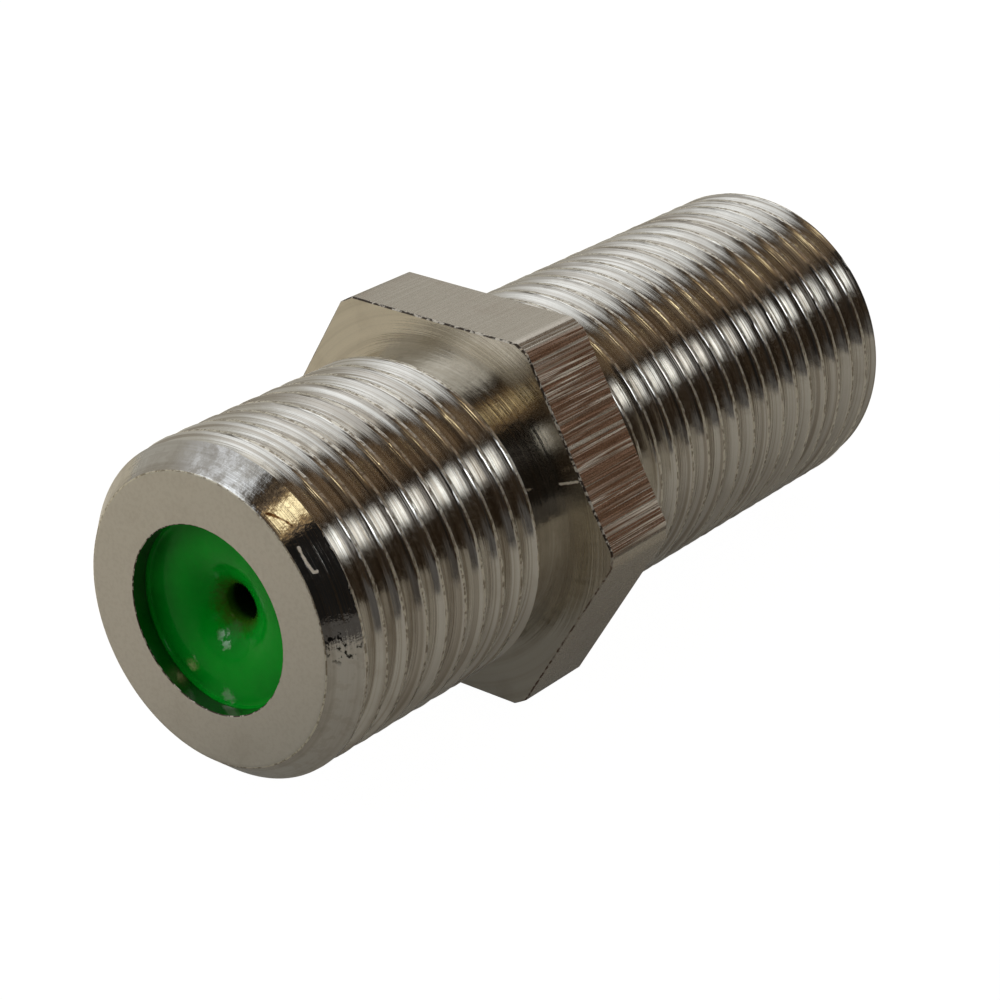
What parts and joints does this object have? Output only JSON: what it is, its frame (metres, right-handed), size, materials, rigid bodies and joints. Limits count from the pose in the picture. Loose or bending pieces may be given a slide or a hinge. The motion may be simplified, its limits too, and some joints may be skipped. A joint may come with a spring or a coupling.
{
  "type": "female to female f connector coupler",
  "caption": "Threaded coaxial coupler with an off-centre hexagon and a funnel-faced insulated socket in each end, for joining two screw-on plugs.",
  "frame": {"origin": "on the barrel's axis, midway between its two end faces", "axes": "+Y along the barrel from the short threaded end to the long one; +Z square to one of the hexagon's flats, pointing up as the part lies on the opposite flat"},
  "size_m": [0.0124, 0.0262, 0.011],
  "materials": {
    "nickel_plate": "bright nickel plate over turned brass",
    "green_insulator": "glossy moulded",
    "tinned_bronze": "tin plate over spring bronze"
  },
  "bodies": {
    "root": {"body": "nickel_plate", "front_insulator": "green_insulator", "rear_insulator": "green_insulator", "centre_contact": "tinned_bronze", "rear_bushing": "nickel_plate"}
  },
  "joints": []
}
